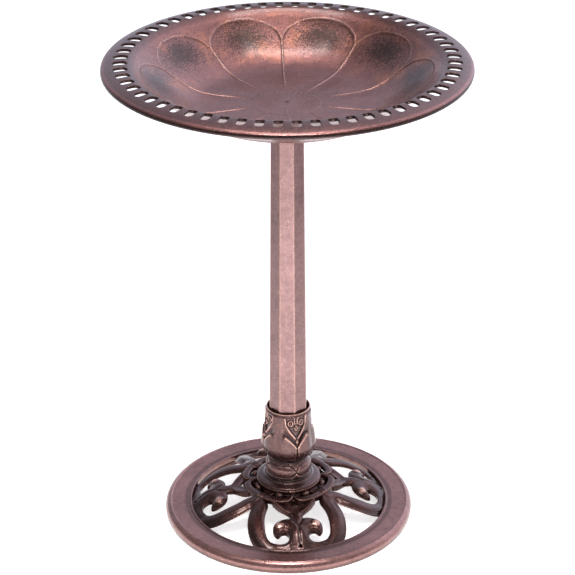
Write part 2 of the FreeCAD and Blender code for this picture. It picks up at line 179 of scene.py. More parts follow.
def edge_wear(thing, passes, reach):
    """How far each point stands out of its surroundings: 1 on a sharp edge, -1 deep in a groove."""
    places = read_points(thing) / MM
    ends = np.empty(len(thing.data.edges) * 2, np.int32)
    thing.data.edges.foreach_get("vertices", ends)
    mean = neighbour_mean(ends.reshape(-1, 2), len(places))
    smooth = places
    for _ in range(passes):
        smooth = (smooth + mean(smooth)) / 2
    standing = np.einsum("ij,ij->i", places - smooth, read_points(thing, "normal"))[:, None]
    for _ in range(2):
        standing = (standing + mean(standing)) / 2
    return np.clip(standing[:, 0] / reach, -1, 1)


class Rings:
    """Builds a mesh from rings of points, joined each to the next."""

    def __init__(self):
        self.points = []
        self.count = 0
        self.faces = {}

    def ring(self, points):
        """Add a ring and return its points' numbers."""
        self.points.append(np.asarray(points, float))
        numbers = np.arange(self.count, self.count + len(points))
        self.count += len(points)
        return numbers

    def add_faces(self, faces):
        """Add an array of faces with one number of corners."""
        self.faces.setdefault(faces.shape[1], []).append(faces)

    def bridge(self, first, second):
        """Faces between two rings, where one may have a whole number of times as many points."""
        flip = len(first) < len(second)
        if flip:
            first, second = second, first
        ratio = len(first) // len(second)
        first = np.append(first, first[0])
        second = np.append(second, second[0])
        steps = np.arange(len(second) - 1)
        columns = [first[steps * ratio + k] for k in range(ratio + 1)]
        columns += [second[steps + 1], second[steps]]
        faces = np.stack(columns, axis=1)
        self.add_faces(faces[:, ::-1] if flip else faces)

    def cap(self, ring, centre):
        """Close a ring with triangles to a middle point."""
        middle = self.ring([centre])[0]
        following = np.roll(ring, -1)
        self.add_faces(np.stack([ring, following, np.full(len(ring), middle)], axis=1))

    def follow(self, previous, profile, count_at, first=0.0):
        """Level rings along a profile of (radius, height), joined to a ring. Returns the last one."""
        for radius, height in profile:
            following = self.ring(lathe_points(radius, height, count_at(radius), first))
            self.bridge(previous, following)
            previous = following
        return previous

    def close(self, numbers):
        """Join a list of rings, each to the next and the last to the first."""
        for first, second in zip(numbers, numbers[1:] + numbers[:1]):
            self.bridge(first, second)

    def build(self, name):
        """The finished object."""
        return make_object(name, np.vstack(self.points), [np.vstack(sets) for sets in self.faces.values()])


def lathe_points(radius, height, count, first=0.0):
    """One level ring of points. The radius may be one number or one for each point."""
    angle = np.radians(first) + np.arange(count) * 2 * math.pi / count
    return np.stack([radius * np.cos(angle), radius * np.sin(angle), np.full(count, float(height))], axis=1)


def turned_object(name, profile, count):
    """A closed solid of revolution from a closed loop of (radius, height) points."""
    rings = Rings()
    rings.close([rings.ring(lathe_points(radius, height, count)) for radius, height in profile])
    return rings.build(name)


def level_surface(field, origin, step):
    """Points and quads round the zero level of a sampled field that is negative inside."""
    inside = field < 0
    shape = np.array(field.shape)
    cells = tuple(shape - 1)
    total = np.zeros(cells + (3,))
    hits = np.zeros(cells)
    offsets = [(i, j) for i in (0, 1) for j in (0, 1)]
    crossings = []
    for axis in range(3):
        low = [slice(None)] * 3
        high = [slice(None)] * 3
        low[axis] = slice(0, -1)
        high[axis] = slice(1, None)
        a, b = field[tuple(low)], field[tuple(high)]
        crossed = inside[tuple(low)] != inside[tuple(high)]
        share = np.where(crossed, a / np.where(crossed, a - b, 1), 0)
        crossings.append(crossed)
        others = [k for k in range(3) if k != axis]
        for i, j in offsets:
            window = [slice(None)] * 3
            window[others[0]] = slice(i, cells[others[0]] + i)
            window[others[1]] = slice(j, cells[others[1]] + j)
            here = crossed[tuple(window)]
            hits += here
            total[..., axis] += here * share[tuple(window)]
            total[..., others[0]] += here * i
            total[..., others[1]] += here * j
    active = hits > 0
    number = np.full(cells, -1)
    number[active] = np.arange(active.sum())
    corner = np.stack(np.nonzero(active), axis=1)
    points = (corner + total[active] / hits[active][:, None]) * step + origin
    quads = []
    for axis in range(3):
        others = [k for k in range(3) if k != axis]
        place = np.stack(np.nonzero(crossings[axis]), axis=1)
        keep = np.all([(place[:, k] > 0) & (place[:, k] < cells[k]) for k in others], axis=0)
        place = place[keep]
        around = []
        for i, j in ((-1, -1), (0, -1), (0, 0), (-1, 0)):
            cell = place.copy()
            cell[:, others[0]] += i
            cell[:, others[1]] += j
            around.append(number[cell[:, 0], cell[:, 1], cell[:, 2]])
        faces = np.stack(around, axis=1)
        leaving = inside[place[:, 0], place[:, 1], place[:, 2]]
        if axis == 1:
            leaving = ~leaving
        quads.append(np.where(leaving[:, None], faces, faces[:, ::-1]))
    return points, np.vstack(quads)


def relaxed(points, quads, passes):
    """The points after a few gentle smoothing passes: each draws in, then spreads a little further out."""
    inwards, outwards = 0.55, 0.57
    mean = neighbour_mean(np.vstack([quads[:, [k, (k + 1) % 4]] for k in range(4)]), len(points))
    moved = points.copy()
    for _ in range(passes):
        moved += inwards * (mean(moved) - moved)
        moved -= outwards * (mean(moved) - moved)
    return moved


# ---------------------------------------------------------------- materials

class Nodes:
    """A small wrapper that adds and joins the nodes of a material or of the surroundings."""

    def __init__(self, owner, place):
        owner.use_nodes = True
        self.tree = owner.node_tree
        self.place = self.node("ShaderNodeTexCoord").outputs[place]

    def node(self, kind, *values, **settings):
        """A new node with its settings, its first sockets set to the values or joined to them."""
        made = self.tree.nodes.new(kind)
        for key, value in settings.items():
            setattr(made, key, value)
        for value, socket in zip(values, made.inputs):
            self.put(value, socket)
        return made

    def put(self, value, socket):
        """Set a socket to a plain value or join it to an output."""
        if isinstance(value, bpy.types.NodeSocket):
            self.tree.links.new(value, socket)
        else:
            socket.default_value = value

    def math(self, operation, a, b):
        """One sum of two numbers."""
        return self.node("ShaderNodeMath", a, b, operation=operation).outputs[0]

    def along(self, direction):
        """How far each place lies along a direction."""
        made = self.node("ShaderNodeVectorMath", self.place, direction, operation="DOT_PRODUCT")
        return made.outputs["Value"]

    def between(self, value, low, high, low_out=0.0, high_out=1.0, curve="LINEAR"):
        """The value spread from low..high to low_out..high_out, held at the ends."""
        return self.node("ShaderNodeMapRange", value, low, high, low_out, high_out,
                         interpolation_type=curve).outputs["Result"]


class Shader(Nodes):
    """A new material, with the helpers that the paints and plastics share."""

    def __init__(self, name):
        self.material = bpy.data.materials.new(name)
        super().__init__(self.material, "Object")
        self.surface = next(n for n in self.tree.nodes if n.type == "BSDF_PRINCIPLED")

    def set_surface(self, **values):
        """Set the surface's own sockets, named with _ for each space."""
        for name, value in values.items():
            self.put(value, self.surface.inputs[name.replace("_", " ")])

    def noise(self, size_mm, detail=2.0, roughness=0.5, shift=0.0):
        """Noise between 0 and 1 with features about size_mm across."""
        place = self.place
        if shift:
            place = self.node("ShaderNodeVectorMath", place, [shift] * 3, operation="ADD").outputs[0]
        made = self.node("ShaderNodeTexNoise", place)
        for name, value in (("Scale", 1 / (size_mm * MM)), ("Detail", detail), ("Roughness", roughness)):
            made.inputs[name].default_value = value
        return made.outputs["Fac"]

    def point_value(self, name):
        """A number stored on the mesh's points."""
        return self.node("ShaderNodeAttribute", attribute_name=name).outputs["Fac"]

    def mix(self, share, first, second):
        """A blend from the first colour to the second."""
        made = self.node("ShaderNodeMix", share, data_type="RGBA")
        for value, socket in ((first, made.inputs[6]), (second, made.inputs[7])):
            self.put(value if isinstance(value, bpy.types.NodeSocket) else (*value, 1.0), socket)
        return made.outputs[2]

    def bump(self, height, strength, distance_mm, under=None):
        """A surface direction that follows the height, over another bump if one is given."""
        made = self.node("ShaderNodeBump", strength, distance_mm * MM)
        self.put(height, made.inputs["Height"])
        if under is not None:
            self.put(under, made.inputs["Normal"])
        return made.outputs["Normal"]


COPPER_MAIN = (0.265, 0.150, 0.143)
COPPER_RED = (0.245, 0.112, 0.102)
COPPER_BOWL = (0.245, 0.103, 0.092)
COPPER_CAST = (0.24, 0.085, 0.070)
COPPER_RING = (0.365, 0.190, 0.172)
COPPER_ORANGE = (0.50, 0.19, 0.105)
COPPER_PALE = (0.80, 0.47, 0.37)
PATINA_AND_SHADE_DARK = (0.026, 0.012, 0.011)
SPRAY_DARK = (0.024, 0.013, 0.011)


def scaled(colour, share):
    """A colour made lighter or darker."""
    return tuple(c * share for c in colour)


def copper_paint(name, main, coat, patina=0.0, sprayed=False):
    """Antique-copper paint: mottled, worn bright on edges and dark with patina in recesses, with the painted
    highlights and painted shade that each piece stores, and a dark speckle.
    """
    s = Shader(name)
    broad = s.between(s.noise(60, 3.0, 0.55), 0.34, 0.66)
    mottled = s.between(s.noise(7, 4.0, 0.65, 3.1), 0.36, 0.68)
    colour = s.mix(s.math("MULTIPLY", broad, 0.45), main, scaled(main, 0.35))
    colour = s.mix(s.math("MULTIPLY", mottled, 0.35), colour, scaled(main, 1.6))
    if sprayed:
        glow = s.between(s.noise(42, 3.0, 0.6, 21.7), 0.50, 0.64, 0.0, 0.48)
        colour = s.mix(s.math("MULTIPLY", glow, s.point_value("wall")), colour, COPPER_ORANGE)
    if patina:
        share = s.between(s.noise(16, 3.0, 0.6, 14.9), 0.25, 0.75, patina + 0.12, patina - 0.12)
        colour = s.mix(share, colour, PATINA_AND_SHADE_DARK)
    # The stored values hold worn edges and patina in recesses, plus painted highlights and painted shade
    # added piece by piece.
    wear_and_painted_light = s.point_value("wear_and_painted_light")
    colour = s.mix(s.between(wear_and_painted_light, 0.22, 0.85, 0.0, 0.8), colour, COPPER_PALE)
    colour = s.mix(s.between(wear_and_painted_light, -0.50, -0.02, 0.94, 0.0), colour, PATINA_AND_SHADE_DARK)
    speckle = s.noise(1.3, 2.0, 0.75, 7.7)
    colour = s.mix(s.between(speckle, 0.55, 0.66, 0.0, 0.55), colour, scaled(main, 0.12))
    colour = s.mix(s.between(speckle, 0.42, 0.34, 0.0, 0.15), colour, COPPER_PALE)
    if sprayed:
        grain = s.math("ADD", s.noise(2.2, 3.0, 0.85, 11.3), s.math("MULTIPLY", s.point_value("spray"), 0.27))
        colour = s.mix(s.between(grain, 0.61, 0.69, 0.0, 0.9), colour, SPRAY_DARK)
    dents = s.bump(s.noise(24, 2.0, 0.5, 1.7), 0.12, 1.2)
    s.set_surface(Base_Color=colour, Metallic=0.85, Specular_IOR_Level=0.5, Coat_Weight=coat,
                  Coat_Roughness=0.14, Roughness=s.between(s.noise(11, 3.0, 0.6, 5.5), 0.3, 0.7, 0.24, 0.36),
                  Normal=s.bump(s.noise(2.0, 3.0, 0.65), 0.65 if sprayed else 0.34, 0.4, dents))
    return s.material


def plain_plastic(name, colour, roughness):
    """Unpainted moulded plastic with a fine spark-eroded grain."""
    s = Shader(name)
    shade = s.between(s.noise(5, 3.0, 0.6), 0.3, 0.7)
    s.set_surface(Base_Color=s.mix(shade, colour, scaled(colour, 1.35)),
                  Roughness=s.between(s.noise(1.2, 2.0), 0.3, 0.7, roughness - 0.06, roughness + 0.06),
                  Normal=s.bump(s.noise(0.6, 2.0), 0.3, 0.08))
    return s.material


def zinc_steel(name):
    """Zinc-plated screw steel, faintly streaked."""
    s = Shader(name)
    streak = s.between(s.noise(0.8, 3.0, 0.7), 0.3, 0.7)
    s.set_surface(Base_Color=s.mix(streak, (0.42, 0.42, 0.44), (0.62, 0.61, 0.58)), Metallic=1.0,
                  Roughness=s.between(streak, 0, 1, 0.26, 0.4))
    return s.material


def set_material(thing, material):
    """Give a piece one material, whatever it had."""
    thing.data.materials.clear()
    thing.data.materials.append(material)


def finish_piece(thing, body, slot, material, *nodes):
    """The calls that every new piece needs."""
    set_material(thing, material)
    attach(thing, body)
    if nodes:
        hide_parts(*nodes)
    return thing


# ---------------------------------------------------------------- camera, floor and lights

def toward(heading, elevation=0.0):
    """The direction at a heading, in degrees from the viewer's side to the right, and an elevation."""
    angle, rise = math.radians(-90 + VIEW_TURN + heading), math.radians(elevation)
    return Vector((math.cos(angle) * math.cos(rise), math.sin(angle) * math.cos(rise), math.sin(rise)))


def make_camera():
    """The camera in front of the bath, looking down a little, with a long lens."""
    distance, eye_height, aside = 2.8497, 1.78462, -0.0006
    pitch, roll = math.radians(26.48), math.radians(0.17)
    up = Vector((0, 0, 1))
    forward = (toward(180) * math.cos(pitch) - up * math.sin(pitch)).normalized()
    right = forward.cross(up).normalized()
    tilted_right = right * math.cos(roll) - right.cross(forward) * math.sin(roll)
    tilted_up = tilted_right.cross(forward)
    place = toward(0) * distance + right * aside + up * eye_height
    camera = bpy.data.objects.new("camera", bpy.data.cameras.new("camera"))
    camera.data.lens = 139.9
    camera.data.sensor_width = 36.0
    camera.data.clip_end = 50.0
    axes = Matrix((tilted_right, tilted_up, -forward)).transposed()
    camera.matrix_world = Matrix.Translation(place) @ axes.to_4x4()
    bpy.context.scene.collection.objects.link(camera)
    bpy.context.scene.camera = camera


def make_floor():
    """A wide pale floor that glows with painted light, lightest and glowing most in a soft lane that runs
    away from the viewer under the bath.
    """
    half = 7000.0
    lane_half, lane_end = 0.42, 1.5
    corners = np.array([(-half, -half, 0), (half, -half, 0), (half, half, 0), (-half, half, 0)])
    floor = make_object("floor", corners, [np.array([[0, 1, 2, 3]])])
    s = Shader("floor_glow")
    aside = s.math("ABSOLUTE", s.along(toward(90)), 0.0)
    behind = s.math("MAXIMUM", s.along(toward(180)), 0.0)
    off_lane = s.math("SUBTRACT", aside, s.math("MULTIPLY", behind, 0.25))
    lane = s.between(off_lane, lane_half, lane_end, 1.0, 0.0)
    tone = s.between(s.noise(400, 2.0), 0.3, 0.7)
    colour = s.mix(lane, (0.70, 0.70, 0.71), s.mix(tone, (0.90, 0.90, 0.90), (0.93, 0.93, 0.93)))
    # Painted light: the floor glows through its emission, most along the lane.
    s.set_surface(Base_Color=colour, Roughness=0.9, Specular_IOR_Level=0.1,
                  Emission_Color=(1.0, 1.0, 1.0, 1.0), Emission_Strength=s.between(lane, 0, 1, 0.15, 0.68))
    set_material(floor, s.material)


def make_light(name, heading, elevation, reach, size, power, target=(0, 0, 0.4), tint=(1, 1, 1), spread=180):
    """A rectangular soft light aimed at the bath, or at another target, from a heading and an elevation."""
    offset = toward(heading, elevation) * reach
    lamp = bpy.data.lights.new(name, "AREA")
    lamp.shape = "RECTANGLE"
    lamp.size, lamp.size_y = size
    lamp.energy = power
    lamp.color = tint
    lamp.spread = math.radians(spread)
    thing = bpy.data.objects.new(name, lamp)
    thing.location = Vector(target) + offset
    thing.rotation_euler = (-offset).to_track_quat("-Z", "Y").to_euler()
    bpy.context.scene.collection.objects.link(thing)


# Soft patches of the surroundings: heading and elevation in degrees, the angles from its middle where the
# patch ends and where it is full, and its colour.
SKY_BASE = (0.26, 0.25, 0.27)
SKY_PATCHES = [(170, 24, 70, 20, (0.40, 0.42, 0.54)), (125, 26, 50, 10, (0.86, 0.88, 1.05)),
               (0, 84, 34, 10, (0.35, 0.33, 0.31)), (75, 35, 50, 12, (0.34, 0.32, 0.33))]


def make_world():
    """Soft surroundings: dim at the left, lavender-grey behind and to the right, warm white overhead."""
    world = bpy.data.worlds.new("studio")
    sky = Nodes(world, "Generated")
    total = SKY_BASE
    for heading, elevation, edge, core, colour in SKY_PATCHES:
        share = sky.between(sky.along(toward(heading, elevation)), math.cos(math.radians(edge)),
                            math.cos(math.radians(core)), curve="SMOOTHSTEP")
        total = sky.node("ShaderNodeVectorMath", share, colour, total, operation="MULTIPLY_ADD").outputs[0]
    sky.put(total, sky.tree.nodes["Background"].inputs["Color"])
    bpy.context.scene.world = world


# ---------------------------------------------------------------- bowl

BASIN_FLOOR = HEIGHT - 62.5
BASIN_UNDERSIDE = BASIN_FLOOR - 4.0
PAD_RADIUS = 72.0
PAD_UNDERSIDE = BOWL_LOW[2]
SLOT_COUNT = 60
SLOT_CENTRE = 227.4
SLOT_HALF_LENGTH = 10.0
SLOT_HALF_WIDTH = 6.35
SLOT_CORNER = 5.5
SLOT_BAND = (213.5, 241.5)
SLOT_EDGE_ROUND = 0.9
# How many points the bowl's rings have, from the rim to the middle.
FINE, MIDDLING, COARSE = 1200, 600, 300

TOP_PROFILE = smooth_line([(0, BASIN_FLOOR), (60, BASIN_FLOOR), (110, BASIN_FLOOR + 1), (130, 653),
                           (150, 662), (170, 675), (190, 690), (203, 701), (213, 708), (218, 710.2),
                           (224, HEIGHT), (238, 709.5), (249, 706.5), (252.6, 704.6),
                           (BOWL_RADIUS - 0.2, 702.2)], 16)
UNDER_PROFILE = smooth_line([(60, BASIN_UNDERSIDE), (100, BASIN_UNDERSIDE), (133, BASIN_UNDERSIDE),
                             (137.5, 645.6), (141, 648.5), (152, 656), (170, 669), (190, 684.5), (203, 696),
                             (214, 703.5), (224, 706.8), (238, 705.3), (249, 701.6), (251.2, 699)], 16)

PETAL_COUNT = 10
PETAL_TIP = 201.5
PETAL_FIRST = 110.6 + BOWL_TURN
DISC_RADIUS = 46.5
DISC_RAYS = 30
KNOB_HEIGHT = 1.2
# One side of a petal's outline, from its tip down to the disc, as (degrees from the petal's middle, radius).
PETAL_SIDE = [(0, PETAL_TIP), (5, 200.5), (9.5, 197), (13, 191.5), (15.8, 184.5), (17.4, 176), (18, 166),
              (18, 120), (18, 47)]


def top_height(radius):
    """The height of the bowl's upper face without its petals."""
    return np.interp(radius, TOP_PROFILE[:, 0], TOP_PROFILE[:, 1])


def under_height(radius):
    """The height of the bowl's underside."""
    return np.interp(radius, UNDER_PROFILE[:, 0], UNDER_PROFILE[:, 1])


def petal_relief(x, y):
    """How far the petals, disc and knob stand above the plain basin, and how thick the dark spray is."""
    pitch = 360.0 / PETAL_COUNT
    radius = np.hypot(x, y)
    degrees = np.degrees(np.arctan2(y, x)) - PETAL_FIRST
    folded = np.abs(np.mod(degrees + pitch / 2, pitch) - pitch / 2)
    along = radius * np.cos(np.radians(folded))
    aside = radius * np.sin(np.radians(folded))
    side = smooth_line(PETAL_SIDE, 10)
    turn = np.radians(side[:, 0])
    line = np.stack([side[:, 1] * np.cos(turn), side[:, 1] * np.sin(turn)], axis=1)
    gap = distance_to_line(along, aside, line)[0]
    inside = folded < np.interp(radius, side[::-1, 1], side[::-1, 0], right=-1)
    swell = 0.5 * smoothstep(3, 24, gap) - 0.9 * smoothstep(0, 2.0, gap)
    petal = np.where(inside, swell, 0.0) + 0.42 * np.exp(-(gap / 0.8) ** 2)
    petal *= 0.3 + 0.7 * smoothstep(DISC_RADIUS - 1, 95, radius)
    on_petals = (radius > DISC_RADIUS) & (radius < PETAL_TIP + 8)
    disc_edge = 0.25 * np.exp(-((radius - DISC_RADIUS) / 1.3) ** 2)
    rays = 0.12 * np.cos(np.radians(degrees) * DISC_RAYS) * smoothstep(6, 30, radius)
    rays *= radius < DISC_RADIUS - 1
    knob = KNOB_HEIGHT * np.exp(-(radius / 2.0) ** 2)
    height = np.where(on_petals, petal, 0.0) + disc_edge + rays + knob
    spot = np.exp(-(((along - 181) / 21) ** 2 + (aside / 36) ** 2))
    band = 0.30 * np.exp(-((radius - 168) / 26) ** 2)
    return height, np.clip(0.75 * spot + band, 0, 1)


def slot_loop(local, grow):
    """Points of a slot's outline, grown outwards, in the directions of the given points."""
    half = np.array([SLOT_HALF_LENGTH, SLOT_HALF_WIDTH]) + grow
    corner = SLOT_CORNER + grow
    angle = np.linspace(0, 2 * math.pi, 721)
    direction = np.stack([np.cos(angle), np.sin(angle)], axis=1)
    squared = np.sign(direction) * (half - corner) + corner * direction
    squared[np.abs(direction) < 1e-9] = 0
    bearing = np.unwrap(np.arctan2(squared[:, 1] / half[1], squared[:, 0] / half[0]))
    wanted = np.mod(np.arctan2(local[:, 1] / half[1], local[:, 0] / half[0]), 2 * math.pi)
    return np.stack([np.interp(wanted, bearing, squared[:, k]) for k in (0, 1)], axis=1)


def rim_sector(rings, loop, points, degrees, height_of, depth):
    """The rim's face from a loop of points in to one slot. Returns the point numbers at the slot's edge."""
    local = turn_about_z(points, -degrees)[:, :2] - (SLOT_CENTRE, 0)
    edge = slot_loop(local, SLOT_EDGE_ROUND)
    levels = [((1 - t) * local + t * edge, 0.0) for t in (0.3, 0.58, 0.82, 1.0)]
    levels += [(slot_loop(local, grow * SLOT_EDGE_ROUND), drop * SLOT_EDGE_ROUND)
               for grow, drop in ((0.62, 0.08), (0.29, 0.29), (0.08, 0.62), (0.0, 1.0))]
    for flat, drop in levels:
        placed = turn_about_z(np.column_stack([flat + (SLOT_CENTRE, 0), np.zeros(len(flat))]), degrees)
        placed[:, 2] = height_of(np.hypot(placed[:, 0], placed[:, 1])) - depth * drop
        following = rings.ring(placed)
        rings.bridge(loop, following)
        loop = following
    return loop


def slotted_band(rings, inner, outer, height_of, depth):
    """The band of the rim that holds the slots, between two rings. Returns the loops at the slots' edges."""
    per_slot = len(inner) // SLOT_COUNT
    pitch = 360.0 / SLOT_COUNT
    radii = np.linspace(*SLOT_BAND, 16)[1:-1]
    sides = []
    for k in range(SLOT_COUNT):
        angle = math.radians(BOWL_TURN + k * pitch)
        points = np.stack([radii * math.cos(angle), radii * math.sin(angle), height_of(radii)], axis=1)
        sides.append(rings.ring(points))
    known = np.vstack(rings.points)
    loops = []
    for k in range(SLOT_COUNT):
        picks = (k * per_slot + np.arange(per_slot + 1)) % len(inner)
        loop = np.concatenate([inner[picks], sides[(k + 1) % SLOT_COUNT], outer[picks][::-1], sides[k][::-1]])
        loops.append(rim_sector(rings, loop, known[loop], BOWL_TURN + (k + 0.5) * pitch, height_of, depth))
    return loops


def bowl_count(radius, coarse_end, middling_end):
    """How many points a ring of the bowl has: few near the middle, many at the rim."""
    return COARSE if radius < coarse_end else MIDDLING if radius <= middling_end else FINE


def basin_face(rings):
    """The petalled basin, from its middle out to the slotted band. Returns its last ring."""
    numbers = []
    for radius in np.concatenate([np.arange(1.2, 45, 1.2), np.linspace(45, 110, 58)[1:],
                                  np.linspace(110, SLOT_BAND[0], 100)[1:]]):
        points = lathe_points(radius, 0, bowl_count(radius, 45, 110), BOWL_TURN)
        points[:, 2] = top_height(radius) + petal_relief(points[:, 0], points[:, 1])[0]
        numbers.append(rings.ring(points))
    for first, second in zip(numbers, numbers[1:]):
        rings.bridge(first, second)
    rings.cap(numbers[0], (0, 0, BASIN_FLOOR + KNOB_HEIGHT))
    return numbers[-1]


def bowl_lip(rings, band_outer):
    """The rolled lip, from the slotted band's outside round to its underside. Returns its last ring."""
    lip = [point for point in TOP_PROFILE if point[0] > SLOT_BAND[1] + 1]
    lip += [(BOWL_RADIUS, 700.6), (BOWL_RADIUS - 0.35, 698.9), (BOWL_RADIUS - 1.3, 698.1),
            (BOWL_RADIUS - 2.3, 698.3)]
    lip += [point for point in UNDER_PROFILE[::-1] if point[0] > SLOT_BAND[1] + 1]
    lip.append((SLOT_BAND[1], under_height(SLOT_BAND[1])))
    return rings.follow(band_outer, lip, lambda radius: FINE, BOWL_TURN)


def bowl_underside(rings, band_inner):
    """The plain underside with its screw pad, from the slotted band in to the middle."""
    under = [point for point in UNDER_PROFILE[::-4] if PAD_RADIUS + 2 < point[0] < SLOT_BAND[0] - 2]
    under += [(PAD_RADIUS + 1.2, BASIN_UNDERSIDE), (PAD_RADIUS, BASIN_UNDERSIDE - 1.2),
              (PAD_RADIUS, PAD_UNDERSIDE + 0.8), (PAD_RADIUS - 0.8, PAD_UNDERSIDE), (30, PAD_UNDERSIDE)]
    last = rings.follow(band_inner, under, lambda radius: bowl_count(radius, 130, 185), BOWL_TURN)
    rings.cap(last, (0, 0, PAD_UNDERSIDE))


def bowl():
    """The bowl: petalled basin, slotted rim, rolled lip and a plain underside with its screw pad."""
    rings = Rings()
    band_inner = basin_face(rings)
    band_outer = rings.ring(lathe_points(SLOT_BAND[1], top_height(SLOT_BAND[1]), FINE, BOWL_TURN))
    upper_loops = slotted_band(rings, band_inner, band_outer, top_height, 1.0)
    under_outer = bowl_lip(rings, band_outer)
    under_inner = rings.ring(lathe_points(SLOT_BAND[0], under_height(SLOT_BAND[0]), FINE, BOWL_TURN))
    lower_loops = slotted_band(rings, under_inner, under_outer, under_height, -1.0)
    for upper, lower in zip(upper_loops, lower_loops):
        rings.bridge(upper, lower)
    bowl_underside(rings, under_inner)
    thing = rings.build("bowl_shell")
    store_bowl_values(thing)
    return thing


def store_bowl_values(thing):
    """Store where the dark spray lies and where the basin's wall is, and the worn edges with painted light:
    painted shade in the slots and under the rolled lip, a painted highlight along the lip's shoulder, and a
    darker rim.
    """
    x, y, height = (read_points(thing) / MM).T
    radius = np.hypot(x, y)
    sunk = top_height(radius) - height
    upper = sunk < 2
    set_values(thing, "spray", np.where(upper, petal_relief(x, y)[1], 0))
    wall = smoothstep(120, 150, radius) * smoothstep(214, 200, radius)
    set_values(thing, "wall", np.where(upper, wall, 0))
    wear_and_painted_light = edge_wear(thing, 5, 0.22)
    wear_and_painted_light = np.where(wear_and_painted_light < 0, 0.4 * wear_and_painted_light, 0.85 * wear_and_painted_light) * smoothstep(216, 210, radius)
    # Painted highlight: a bright line along the shoulder of the rolled lip.
    lip_shoulder_highlight = 0.5 * np.exp(-((height - 705.4) / 1.0) ** 2) * smoothstep(246, 250, radius)
    # Darker over the rim, and painted shade on the underside of the rolled lip.
    lip = 0.33 * smoothstep(204, 213, radius)
    lip += 0.20 * smoothstep(704.4, 702.0, height) * smoothstep(248, 250, radius)
    # Painted shade on the walls inside the slots.
    slot_painted_shade = 0.5 * smoothstep(0.2, 0.9, sunk) * (radius > 214) * (radius < 241)
    set_values(thing, "wear_and_painted_light", np.where(upper | (radius > 214), wear_and_painted_light + lip_shoulder_highlight - lip - slot_painted_shade, wear_and_painted_light))


# ---------------------------------------------------------------- pole

POLE_SIDES = 8
POLE_FLATS_AT_FOOT = 54.6
POLE_FLATS_AT_HEAD = 45.3
POLE_WALL = 3.0
POLE_EDGE_ROUND = 2.6


def pole_section(height, inset, edge_round):
    """The pole's eight-sided outline with rounded corners at a height."""
    share = (height - POLE_LOW[2]) / (POLE_HIGH[2] - POLE_LOW[2])
    half = (POLE_FLATS_AT_FOOT + share * (POLE_FLATS_AT_HEAD - POLE_FLATS_AT_FOOT)) / 2 - inset
    half_side = half * math.tan(math.pi / POLE_SIDES)
    corner_set_back = edge_round * math.tan(math.pi / POLE_SIDES)
    corner_steps = 5
    points = []
    for side in range(POLE_SIDES):
        facing = math.radians(POLE_TURN - 90 + side * 360 / POLE_SIDES)
        out = np.array([math.cos(facing), math.sin(facing)])
        along = np.array([-out[1], out[0]])
        flat_end = half_side - corner_set_back
        for share_of_flat in (-1, -0.6, -0.2, 0.2, 0.6):
            points.append(half * out + share_of_flat * flat_end * along)
        centre = (half - edge_round) * out + flat_end * along
        for step in range(corner_steps):
            turn = math.radians(step * 360 / POLE_SIDES / corner_steps)
            points.append(centre + edge_round * (math.cos(turn) * out + math.sin(turn) * along))
    flat = np.array(points)
    return np.column_stack([flat, np.full(len(flat), height)])


def pole():
    """The hollow tapered pole with softened arrises."""
    rings = Rings()
    low, high = POLE_LOW[2], POLE_HIGH[2]
    outside = [(low, 0.6), (low + 0.6, 0.0)] + [(z, 0.0) for z in np.linspace(low + 20, high - 20, 24)]
    outside += [(high - 0.6, 0.0), (high, 0.6)]
    numbers = [rings.ring(pole_section(z, inset, POLE_EDGE_ROUND)) for z, inset in outside]
    numbers += [rings.ring(pole_section(z, POLE_WALL, 1.0)) for z in (high, low)]
    rings.close(numbers)
    thing = rings.build("pole_tube")
    set_values(thing, "wear_and_painted_light", pole_wear(thing))
    return thing


def pole_wear(thing):
    """Bright along the eight arrises and dull on the flats."""
    x, y, _ = read_points(thing).T
    facing = np.degrees(np.arctan2(y, x)) - POLE_TURN + 90
    pitch = 360 / POLE_SIDES
    off_corner = np.abs(np.mod(facing, pitch) - pitch / 2)
    return 0.5 * np.exp(-(off_corner / 3.0) ** 2)


# ---------------------------------------------------------------- collar

CUP_TOP = COLLAR_HIGH[2]
CUP_FLOOR = 103.0
CUP_INNER = 30.4
BORE_RADIUS = 15.05
NOTCH_TURN = 20.0 + COLLAR_TURN - 90
# The length of one degree round the cup's outside, in millimetres.
DEGREE_ON_CUP = 0.60


def dome_bump(across, up, half_width, half_height, height):
    """A round-topped bump with an oval outline."""
    off = np.hypot(across / half_width, up / half_height)
    return height * np.sqrt(np.clip(1 - off ** 2, 0, 1))


def cup_leaves(side, height):
    """The four big leaves of the cup, with the parts tucked behind them. Side is in degrees from a notch."""
    across = side * DEGREE_ON_CUP
    leaf_edge = 120.5 + 27 * (1 - np.exp(-side / 24)) + 0.05 * side
    below = (leaf_edge - height) * 0.72
    rounding = np.sqrt(np.clip(1 - ((side - 24) / 24.5) ** 2, 0, 1))
    leaf = 0.3 + 2.3 * rounding * (1 - 0.6 * smoothstep(30, 45, side))
    leaf *= 0.45 + 0.55 * smoothstep(98, 112, height)
    soft = smoothstep(24, 38, side)
    tucked = 1.1 - 2.0 * (1 - smoothstep(0.5, 9.0, -below)) * (1 - soft)
    relief = tucked + (leaf + 0.4 - tucked) * smoothstep(-1, 1, below / (0.6 + 9.0 * soft))
    vein = 1.5 * np.exp(-(across / 0.9) ** 2)
    return relief - vein * smoothstep(0.5, 2.5, below) * smoothstep(95, 104, height)


def above_panel_edge(side, height):
    """How far a place lies above the edge of its scroll panel."""
    edge = np.where(side < 25, 135.5 + 0.70 * side + 0.008 * side ** 2, 158 + (side - 25) * 5)
    return (height - edge) * np.where(side < 25, 0.62, 0.2)


